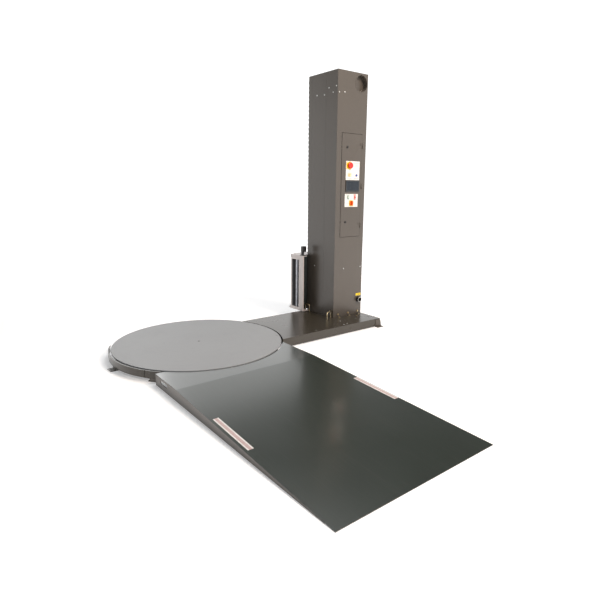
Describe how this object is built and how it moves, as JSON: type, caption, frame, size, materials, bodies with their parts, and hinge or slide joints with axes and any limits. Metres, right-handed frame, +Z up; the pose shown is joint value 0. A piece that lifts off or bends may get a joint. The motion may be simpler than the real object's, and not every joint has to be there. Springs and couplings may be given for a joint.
{
  "type": "turntable pallet wrapper",
  "caption": "Low round turntable with a loading ramp and a deck that carries a square mast, a control door and a film carriage that climbs the mast to wrap a pallet load.",
  "frame": {"origin": "on the floor under the centre of the turntable", "axes": "+X from the turntable to the mast, -Y down the ramp to its toe, +Z up"},
  "size_m": [3.0549, 3.641, 2.85],
  "materials": {
    "table_steel": "light grey satin powder coat",
    "machine_paint": "warm brown-grey semi-gloss powder coat",
    "ramp_paint": "dark green-grey semi-gloss paint",
    "raw_steel": "bare mill steel",
    "zinc": "yellow-passivated zinc plate",
    "screw_steel": "zinc-plated steel",
    "wheel_nylon": "natural cast nylon",
    "chain_steel": "oiled steel",
    "motor_paint": "blue-grey cast housing paint",
    "electrics": "moulded housings on a galvanised sheet",
    "label_plate": "white printed sheet",
    "display_plastic": "dark blue-grey bezel",
    "red_plastic": "glossy red",
    "blue_plastic": "glossy blue",
    "green_plastic": "glossy green",
    "switch_plastic": "glossy orange-red",
    "black_plastic": "moulded black",
    "carriage_paint": "light grey satin powder coat",
    "dark_paint": "dark green-grey powder coat",
    "roller_aluminium": "turned and anodised",
    "roller_rubber": "moulded rubber sleeve",
    "slide_plastic": "slide polymer"
  },
  "bodies": {
    "base": {"base_plate": "raw_steel", "wheel_brackets": "raw_steel", "ring_skirt_rear": "machine_paint", "ring_skirt_front": "machine_paint", "deck_plate": "machine_paint", "chassis_rails": "raw_steel", "anchor_brackets": "machine_paint", "lifting_eyes": "zinc", "cover_screws": "screw_steel", "foot_bolts": "zinc", "mast_base_plate": "raw_steel", "mast_front_cover": "machine_paint", "mast_side_cover_near": "machine_paint", "mast_side_cover_far": "machine_paint", "mast_guide_post": "machine_paint", "mast_far_cover": "machine_paint", "mast_back_cover": "machine_paint", "mast_top_cap": "machine_paint", "recess_cup": "machine_paint", "power_inlet": "black_plastic", "guide_rails": "raw_steel", "table_motor": "motor_paint", "drive_chain": "chain_steel", "lift_motor": "motor_paint", "lift_chain": "chain_steel", "electrics_panel": "electrics", "door_hinges": "machine_paint"},
    "turntable": {"table_plate": "table_steel", "table_hub": "raw_steel"},
    "table_drive": {"drive_sprocket": "chain_steel"},
    "ramp": {"ramp_deck": "ramp_paint", "ramp_cheeks": "machine_paint", "ramp_ribs": "ramp_paint"},
    "door": {"control_door": "machine_paint", "legend_plates": "label_plate", "display_panel": "display_plastic"},
    "estop": {"estop_button": "red_plastic"},
    "reset": {"reset_button": "blue_plastic"},
    "start": {"start_button": "green_plastic"},
    "stop": {"stop_button": "red_plastic"},
    "switch": {"main_switch": "switch_plastic"},
    "upper_lock": {"lock_upper": "black_plastic"},
    "lower_lock": {"lock_lower": "black_plastic"},
    "carriage": {"carriage_frame": "carriage_paint", "trolley_plate": "dark_paint", "slide_blocks": "slide_plastic", "stretch_motor": "motor_paint", "photocell_housing": "black_plastic"},
    "stretch_1": {"stretch_roller_1": "roller_rubber"},
    "stretch_2": {"stretch_roller_2": "roller_rubber"},
    "idler": {"idler_roller": "roller_aluminium"},
    "spindle": {"film_spindle": "raw_steel"},
    "lift_top": {"lift_sprocket_top": "chain_steel"},
    "lift_bottom": {"lift_sprocket_bottom": "chain_steel"},
    "support_wheel_1": {"wheel_1": "wheel_nylon"},
    "support_wheel_2": {"wheel_2": "wheel_nylon"},
    "support_wheel_3": {"wheel_3": "wheel_nylon"},
    "support_wheel_4": {"wheel_4": "wheel_nylon"},
    "support_wheel_5": {"wheel_5": "wheel_nylon"},
    "support_wheel_6": {"wheel_6": "wheel_nylon"}
  },
  "joints": [
    {"name": "table_spin", "type": "hinge", "parent": "base", "child": "turntable", "pos_m": [0, 0, 0.06], "axis": [0, 0, 1], "continuous": true},
    {"name": "wheel_1_spin", "type": "hinge", "parent": "base", "child": "support_wheel_1", "pos_m": [0.60622, 0.35, 0.058], "axis": [0.866, 0.5, 0], "continuous": true},
    {"name": "wheel_2_spin", "type": "hinge", "parent": "base", "child": "support_wheel_2", "pos_m": [0, 0.7, 0.058], "axis": [0, 1, 0], "continuous": true},
    {"name": "wheel_3_spin", "type": "hinge", "parent": "base", "child": "support_wheel_3", "pos_m": [-0.60622, 0.35, 0.058], "axis": [-0.866, 0.5, 0], "continuous": true},
    {"name": "wheel_4_spin", "type": "hinge", "parent": "base", "child": "support_wheel_4", "pos_m": [-0.60622, -0.35, 0.058], "axis": [-0.866, -0.5, 0], "continuous": true},
    {"name": "wheel_5_spin", "type": "hinge", "parent": "base", "child": "support_wheel_5", "pos_m": [0, -0.7, 0.058], "axis": [0, -1, 0], "continuous": true},
    {"name": "wheel_6_spin", "type": "hinge", "parent": "base", "child": "support_wheel_6", "pos_m": [0.60622, -0.35, 0.058], "axis": [0.866, -0.5, 0], "continuous": true},
    {"name": "table_drive_spin", "type": "hinge", "parent": "base", "child": "table_drive", "pos_m": [1.8, 0, 0.048], "axis": [0, 0, 1], "continuous": true},
    {"name": "ramp_lift_off", "type": "slide", "parent": "base", "child": "ramp", "axis": [0, 0, 1], "range_m": [0, 0.15]},
    {"name": "door_swing", "type": "hinge", "parent": "base", "child": "door", "pos_m": [2.082, -0.118, 1.63], "axis": [0, 0, 1], "range_deg": [0, 110]},
    {"name": "estop_press", "type": "slide", "parent": "door", "child": "estop", "axis": [0, 1, 0], "range_m": [0, 0.005]},
    {"name": "reset_press", "type": "slide", "parent": "door", "child": "reset", "axis": [0, 1, 0], "range_m": [0, 0.004], "stiffness_N_per_m": 400},
    {"name": "start_press", "type": "slide", "parent": "door", "child": "start", "axis": [0, 1, 0], "range_m": [0, 0.004], "stiffness_N_per_m": 400},
    {"name": "stop_press", "type": "slide", "parent": "door", "child": "stop", "axis": [0, 1, 0], "range_m": [0, 0.004], "stiffness_N_per_m": 400},
    {"name": "main_switch_turn", "type": "hinge", "parent": "door", "child": "switch", "pos_m": [1.925, -0.118, 1.438], "axis": [0, 1, 0], "range_deg": [0, 90]},
    {"name": "upper_lock_turn", "type": "hinge", "parent": "door", "child": "upper_lock", "pos_m": [1.847, -0.113, 2.056], "axis": [0, 1, 0], "range_deg": [0, 90]},
    {"name": "lower_lock_turn", "type": "hinge", "parent": "door", "child": "lower_lock", "pos_m": [1.841, -0.113, 1.224], "axis": [0, 1, 0], "range_deg": [0, 90]},
    {"name": "carriage_lift", "type": "slide", "parent": "base", "child": "carriage", "axis": [0, 0, 1], "range_m": [0, 1.95]},
    {"name": "lift_top_spin", "type": "hinge", "parent": "base", "child": "lift_top", "pos_m": [1.8, 0.32, 2.7], "axis": [1, 0, 0], "continuous": true},
    {"name": "lift_bottom_spin", "type": "hinge", "parent": "base", "child": "lift_bottom", "pos_m": [1.8, 0.32, 0.2], "axis": [1, 0, 0], "continuous": true},
    {"name": "stretch_1_spin", "type": "hinge", "parent": "carriage", "child": "stretch_1", "pos_m": [1.63, 0.567, 0.45], "axis": [0, 0, 1], "continuous": true},
    {"name": "stretch_2_spin", "type": "hinge", "parent": "carriage", "child": "stretch_2", "pos_m": [1.722, 0.59, 0.45], "axis": [0, 0, 1], "continuous": true},
    {"name": "idler_spin", "type": "hinge", "parent": "carriage", "child": "idler", "pos_m": [1.59, 0.471, 0.45], "axis": [0, 0, 1], "continuous": true},
    {"name": "film_spindle_spin", "type": "hinge", "parent": "carriage", "child": "spindle", "pos_m": [1.935, 0.56, 0.3], "axis": [0, 0, 1], "continuous": true}
  ],
  "couplings": [
    {"joint": "wheel_1_spin", "follows": "table_spin", "ratio": -20.173},
    {"joint": "wheel_2_spin", "follows": "table_spin", "ratio": -20.173},
    {"joint": "wheel_3_spin", "follows": "table_spin", "ratio": -20.173},
    {"joint": "wheel_4_spin", "follows": "table_spin", "ratio": -20.173},
    {"joint": "wheel_5_spin", "follows": "table_spin", "ratio": -20.173},
    {"joint": "wheel_6_spin", "follows": "table_spin", "ratio": -20.173},
    {"joint": "table_drive_spin", "follows": "table_spin", "ratio": 3.2778},
    {"joint": "lift_top_spin", "follows": "carriage_lift", "rad_per_m": 22.472},
    {"joint": "lift_bottom_spin", "follows": "carriage_lift", "rad_per_m": 22.472},
    {"joint": "stretch_2_spin", "follows": "stretch_1_spin", "ratio": -2}
  ]
}
